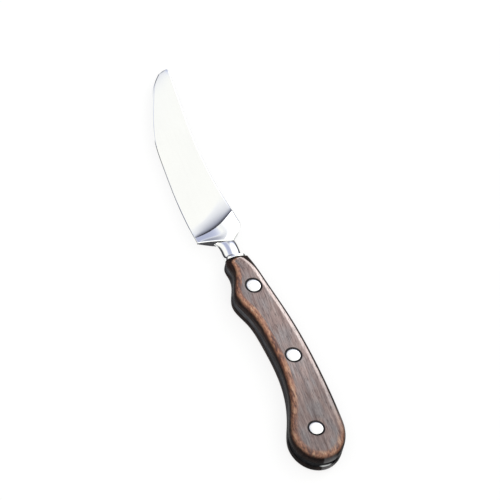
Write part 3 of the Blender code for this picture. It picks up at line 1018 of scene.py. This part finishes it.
def butt_patch(tree, sides, back_side, belly_side, stations):
    """1 in a patch of the butt end, between two places across the knife and before a station along it."""
    inside = smooth_step(tree, sides["Y"], *back_side)
    inside = math_node(tree, "MULTIPLY", inside, smooth_step(tree, sides["Y"], *belly_side, 1, 0))
    return math_node(tree, "MULTIPLY", inside, smooth_step(tree, sides["X"], *stations, 1, 0))


# Steel materials

def steel_material():
    """Mirror-polished steel with faint polishing lines along the knife."""
    material, tree, shader = new_material("polished_steel")
    shader.inputs["Metallic"].default_value = 1
    lines = stretched_noise(tree, *POLISH_LINES)
    tone = average(tree, lines, stretched_noise(tree, *POLISH_CLOUDS))
    tree.links.new(ramp(tree, tone, STEEL_COLORS, *STEEL_RANGE), shader.inputs["Base Color"])
    roughness = smooth_step(tree, lines, *FINISH_RANGE, *STEEL_ROUGHNESS)
    tree.links.new(roughness, shader.inputs["Roughness"])
    return material


def shaded_dull_material():
    """Unpolished steel of the tang's edge and behind the heel, darkened with painted shade, with a painted
    glint at the butt end, and a little streaked.
    """
    material, tree, shader = new_material("shaded_dull_steel")
    shader.inputs["Metallic"].default_value = 1
    shader.inputs["Specular Tint"].default_value = SHADED_DULL_GRAZING
    lines = stretched_noise(tree, *DULL_LINES)
    sides = split_place(tree)
    # Painted shade darkens the tang's edge towards the butt
    shade = smooth_step(tree, sides["X"], *TANG_STATIONS, TANG_SHADE, 1)
    color = multiplied(tree, ramp(tree, lines, SHADED_DULL_COLORS, *STEEL_RANGE), shade)
    # Painted glint on the butt end of the tang's edge
    glint = butt_patch(tree, sides, GLINT_BACK_SIDE, GLINT_BELLY_SIDE, GLINT_STATIONS)
    glint = math_node(tree, "MULTIPLY", glint, smooth_step(tree, sides["Z"], *GLINT_HEIGHTS, 1, 0))
    tree.links.new(mix_colors(tree, glint, color, GLINT_COLOR), shader.inputs["Base Color"])
    roughness = smooth_step(tree, lines, *FINISH_RANGE, *DULL_ROUGHNESS)
    tree.links.new(roughness, shader.inputs["Roughness"])
    return material


def rivet_material():
    """Ground steel with fine turning rings round each head's middle."""
    material, tree, shader = new_material("turned_steel")
    shader.inputs["Metallic"].default_value = 1
    inputs = {0: place_from_above(tree)}
    radius = add_node(tree, "ShaderNodeVectorMath", inputs, operation="LENGTH").outputs["Value"]
    rings = math_node(tree, "SINE", math_node(tree, "MULTIPLY", radius, 2 * math.pi / RING_PITCH))
    tone = smooth_step(tree, rings, -1, 1)
    tree.links.new(ramp(tree, tone, RIVET_COLORS, 0, 1), shader.inputs["Base Color"])
    tree.links.new(smooth_step(tree, rings, -1, 1, *RIVET_ROUGHNESS), shader.inputs["Roughness"])
    return material


# Wood material

def wood_grain(tree):
    """Tone of the grain, and a speckle that breaks up the warm rounded edge."""
    streaks = stretched_noise(tree, *STREAKS)
    tone = math_node(tree, "MULTIPLY", streaks, STREAK_SHARE)
    tone = math_node(tree, "MULTIPLY_ADD", stretched_noise(tree, *FIBRES), FIBRE_SHARE, tone)
    tone = math_node(tree, "MULTIPLY_ADD", stretched_noise(tree, *BANDS), BAND_SHARE, tone)
    return tone, average(tree, streaks, stretched_noise(tree, *FLECKS))


def upper_color(tree, tone, speckle, turn, ragged, along):
    """Face, greyed in part by painted sheen, with its rounded edge, once for the belly side, ragged and
    orange, and once for the back, a pale painted highlight.
    """
    tint = ramp(tree, stretched_noise(tree, *HUES), FACE_TINTS, *SPECKLE_RANGE)
    # Face colour, in part painted sheen
    face = multiplied(tree, ramp(tree, tone, FACE_COLORS, *FACE_RANGE), tint)
    belly_edge = ramp(tree, speckle, EDGE_COLORS, *SPECKLE_RANGE)
    belly_color = mix_colors(tree, smooth_step(tree, ragged, *BELLY_EDGE), face, belly_edge)
    # Painted highlight along the back's rounded edge
    back_highlight = ramp(tree, tone, BACK_HIGHLIGHT_COLORS, *GRAIN_RANGE)
    strength = smooth_step(tree, along, *BACK_HIGHLIGHT_STATIONS, *BACK_HIGHLIGHT_STRENGTH)
    highlight_share = math_node(tree, "MULTIPLY", smooth_step(tree, turn, *BACK_HIGHLIGHT_TURNS), strength)
    return belly_color, mix_colors(tree, highlight_share, face, back_highlight)


def flank_share(tree, turn, ragged, on_back, along):
    """1 on the flanks, darkened with painted shade, and 0 above them."""
    shift = smooth_step(tree, along, *SHIFT_STATIONS, 0, FRONT_SHIFT)
    belly_flank = smooth_step(tree, math_node(tree, "ADD", ragged, shift), *BELLY_FLANK)
    back_flank = smooth_step(tree, turn, *BACK_FLANK)
    on_belly = math_node(tree, "SUBTRACT", 1, on_back)
    share = math_node(tree, "MULTIPLY", belly_flank, on_belly)
    return math_node(tree, "MULTIPLY_ADD", back_flank, on_back, share)


def rivet_rim(tree, rivets):
    """1 in the dark rim round each rivet, falling to 0 just outside it."""
    place = place_from_above(tree)
    nearest = None
    for _, centre, radius in rivets:
        inputs = {0: place, 1: centre}
        away = add_node(tree, "ShaderNodeVectorMath", inputs, operation="DISTANCE").outputs["Value"]
        gap = math_node(tree, "SUBTRACT", away, radius)
        nearest = gap if nearest is None else math_node(tree, "MINIMUM", nearest, gap)
    rim_end = FIT_GAP + RIM_WIDTH
    return smooth_step(tree, nearest, *[share * rim_end for share in RIM_FADE], 1, 0)


def lacquer_roughness(tree, tone, turn):
    """Roughness of the lacquer: smoother on the lighter grain, rougher down the rounded edge."""
    roughness = smooth_step(tree, tone, *FINISH_RANGE, *LACQUER_ROUGHNESS)
    return math_node(tree, "MULTIPLY_ADD", smooth_step(tree, turn, *ROUGHER_TURNS), ROUGHER, roughness)


def lacquer_gloss(tree, sides, on_flank):
    """Gloss of the lacquer: worn off the flanks but for a patch on the butt end."""
    patch = butt_patch(tree, sides, PATCH_BACK_SIDE, PATCH_BELLY_SIDE, PATCH_STATIONS)
    flank_gloss = math_node(tree, "MULTIPLY_ADD", patch, PATCH_GLOSS, FLANK_GLOSS)
    change = math_node(tree, "SUBTRACT", flank_gloss, LACQUER_GLOSS)
    return math_node(tree, "MULTIPLY_ADD", change, on_flank, LACQUER_GLOSS)


def grain_relief(tree, tone, pores):
    """Shallow relief of the grain and its pores."""
    height = math_node(tree, "SUBTRACT", tone, pores)
    inputs = {"Height": height, "Strength": RELIEF_STRENGTH, "Distance": RELIEF_HEIGHT}
    return add_node(tree, "ShaderNodeBump", inputs).outputs[0]


def wood_material(rivets):
    """Lacquered hardwood: grey-brown faces partly of painted sheen, warm edges with a painted highlight on
    the back, and dark flanks of painted shade, all with the same grain.
    """
    material, tree, shader = new_material("lacquered_wood")
    turn = stored(tree, "turn")
    on_back = stored(tree, "back")
    sides = split_place(tree)
    tone, speckle = wood_grain(tree)
    uneven = math_node(tree, "SUBTRACT", speckle, NOISE_MIDDLE)
    ragged = math_node(tree, "MULTIPLY_ADD", uneven, RAGGEDNESS, turn)
    color = mix_colors(tree, on_back, *upper_color(tree, tone, speckle, turn, ragged, sides["X"]))
    color = multiplied(tree, color, smooth_step(tree, sides["X"], *SHADE_STATIONS, BUTT_SHADE, 1))
    # Painted shade on the flanks, deeper towards the butt
    flank = ramp(tree, tone, FLANK_COLORS, *GRAIN_RANGE)
    flank = multiplied(tree, flank, smooth_step(tree, sides["X"], *SHADE_STATIONS, FLANK_SHADE, 1))
    on_flank = flank_share(tree, turn, ragged, on_back, sides["X"])
    color = mix_colors(tree, on_flank, color, flank)
    pores = smooth_step(tree, stretched_noise(tree, *PORES), *PORE_RANGE, 0, PORE_STRENGTH)
    color = mix_colors(tree, pores, color, DARK_COLOR)
    color = mix_colors(tree, rivet_rim(tree, rivets), color, DARK_COLOR)
    tree.links.new(color, shader.inputs["Base Color"])
    tree.links.new(lacquer_roughness(tree, tone, turn), shader.inputs["Roughness"])
    tree.links.new(lacquer_gloss(tree, sides, on_flank), shader.inputs["Specular IOR Level"])
    tree.links.new(grain_relief(tree, tone, pores), shader.inputs["Normal"])
    return material


# Stage

def add_floor():
    """Plain pale floor that the knife lies on."""
    mesh = bpy.data.meshes.new("floor")
    half = FLOOR_SIZE / 2
    corners = [(-half, -half, 0), (half, -half, 0), (half, half, 0), (-half, half, 0)]
    mesh.from_pydata(corners, [], [(0, 1, 2, 3)])
    floor = bpy.data.objects.new("floor", mesh)
    bpy.context.scene.collection.objects.link(floor)
    material, tree, shader = new_material("pale_floor")
    shader.inputs["Base Color"].default_value = (*FLOOR_COLOR, 1)
    shader.inputs["Roughness"].default_value = 1
    shader.inputs["Specular IOR Level"].default_value = 0
    path = add_node(tree, "ShaderNodeLightPath").outputs
    seen = math_node(tree, "MAXIMUM", path["Is Camera Ray"], path["Is Glossy Ray"])
    seen = math_node(tree, "MAXIMUM", seen, path["Is Transmission Ray"])
    share = math_node(tree, "MULTIPLY", seen, FLOOR_GLOW)
    glow = add_node(tree, "ShaderNodeEmission").outputs[0]
    both = add_node(tree, "ShaderNodeMixShader", {0: share, 1: shader.outputs[0], 2: glow}).outputs[0]
    tree.links.new(both, tree.nodes["Material Output"].inputs["Surface"])
    mesh.materials.append(material)


def cosines(angles):
    """Cosine of each angle."""
    return [math.cos(angle) for angle in angles]


def facing(tree, direction, axis):
    """Cosine of the angle between a direction and a fixed axis."""
    inputs = {0: direction, 1: Vector(axis).normalized()}
    return add_node(tree, "ShaderNodeVectorMath", inputs, operation="DOT_PRODUCT").outputs["Value"]


def tent_color(tree, direction):
    """Colour of the tent in a direction: its horizon, and then its openings one after the other."""
    height = add_node(tree, "ShaderNodeSeparateXYZ", {0: direction}).outputs["Z"]
    near = ramp(tree, height, (HORIZON_COLOR, TENT_COLOR), *HORIZON_HEIGHTS)
    far = ramp(tree, height, (FAR_COLOR, TENT_COLOR), *HORIZON_HEIGHTS)
    at_far_end = smooth_step(tree, facing(tree, direction, FAR_DIRECTION), *cosines(FAR_ANGLES))
    color = mix_colors(tree, at_far_end, near, far)
    openings = (
        (VIOLET_DIRECTION, VIOLET_ANGLES, VIOLET_COLORS),
        (SIDE_DIRECTION, SIDE_ANGLES, SIDE_COLORS),
        (TIP_DIRECTION, TIP_ANGLES, TIP_COLORS),
    )
    for axis, angles, colors in openings:
        toward = facing(tree, direction, axis)
        opening = ramp(tree, toward, colors, *cosines(angles))
        core_angles = [share * angles[0] for share in OPENING_CORE]
        in_core = smooth_step(tree, toward, *cosines(core_angles))
        darker = mix_colors(tree, 1.0, color, opening, "DARKEN")
        color = mix_colors(tree, in_core, darker, opening)
    return color


def tent_level(tree, direction):
    """Strength of the tent's light in a direction, with its soft lamps."""
    level = TENT_LEVEL
    lamps = ((STRIP_DIRECTION, STRIP_ANGLES, STRIP_LEVEL), (KEY_DIRECTION, KEY_ANGLES, KEY_LEVEL))
    for axis, angles, added in lamps:
        lamp = smooth_step(tree, facing(tree, direction, axis), *cosines(angles), 0, added)
        level = math_node(tree, "ADD", lamp, level)
    return level


def add_world():
    """Studio light: the tent all round the knife."""
    world = bpy.data.worlds.new("studio")
    bpy.context.scene.world = world
    world.use_nodes = True
    tree = world.node_tree
    direction = add_node(tree, "ShaderNodeTexCoord").outputs["Generated"]
    background = tree.nodes["Background"]
    tree.links.new(tent_color(tree, direction), background.inputs["Color"])
    tree.links.new(tent_level(tree, direction), background.inputs["Strength"])


def add_camera():
    """Camera at the photograph's viewing angle."""
    camera = bpy.data.objects.new("camera", bpy.data.cameras.new("camera"))
    bpy.context.scene.collection.objects.link(camera)
    level = math.cos(CAMERA_ELEVATION)
    toward = Vector((
        math.sin(CAMERA_AZIMUTH) * level,
        -math.cos(CAMERA_AZIMUTH) * level,
        math.sin(CAMERA_ELEVATION),
    ))
    right = Vector((0, 0, 1)).cross(toward).normalized()
    up = toward.cross(right)
    rolled_right = right * math.cos(CAMERA_ROLL) + up * math.sin(CAMERA_ROLL)
    rolled_up = up * math.cos(CAMERA_ROLL) - right * math.sin(CAMERA_ROLL)
    turn = Matrix((rolled_right, rolled_up, toward)).transposed()
    camera.matrix_world = Matrix.Translation(CAMERA_TARGET + toward * CAMERA_DISTANCE) @ turn.to_4x4()
    camera.data.lens = CAMERA_LENS
    camera.data.clip_end = 2 * CAMERA_DISTANCE
    bpy.context.scene.camera = camera


rivet_list = rivet_rows()
steel_finishes = [steel_material(), shaded_dull_material()]
rivet_finish = rivet_material()
wood_finish = wood_material(rivet_list)
for rivet_name, rivet_place, rivet_radius in rivet_list:
    add_rivet(rivet_name, rivet_place, rivet_radius, rivet_finish)
add_scale("wood_scale_upper", "handle_scale_upper", 1, rivet_list, wood_finish)
add_scale("wood_scale_lower", "handle_scale_lower", -1, rivet_list, wood_finish)
add_blade(rivet_list, steel_finishes)
add_floor()
add_world()
add_camera()
bpy.context.scene.view_settings.view_transform = "Standard"
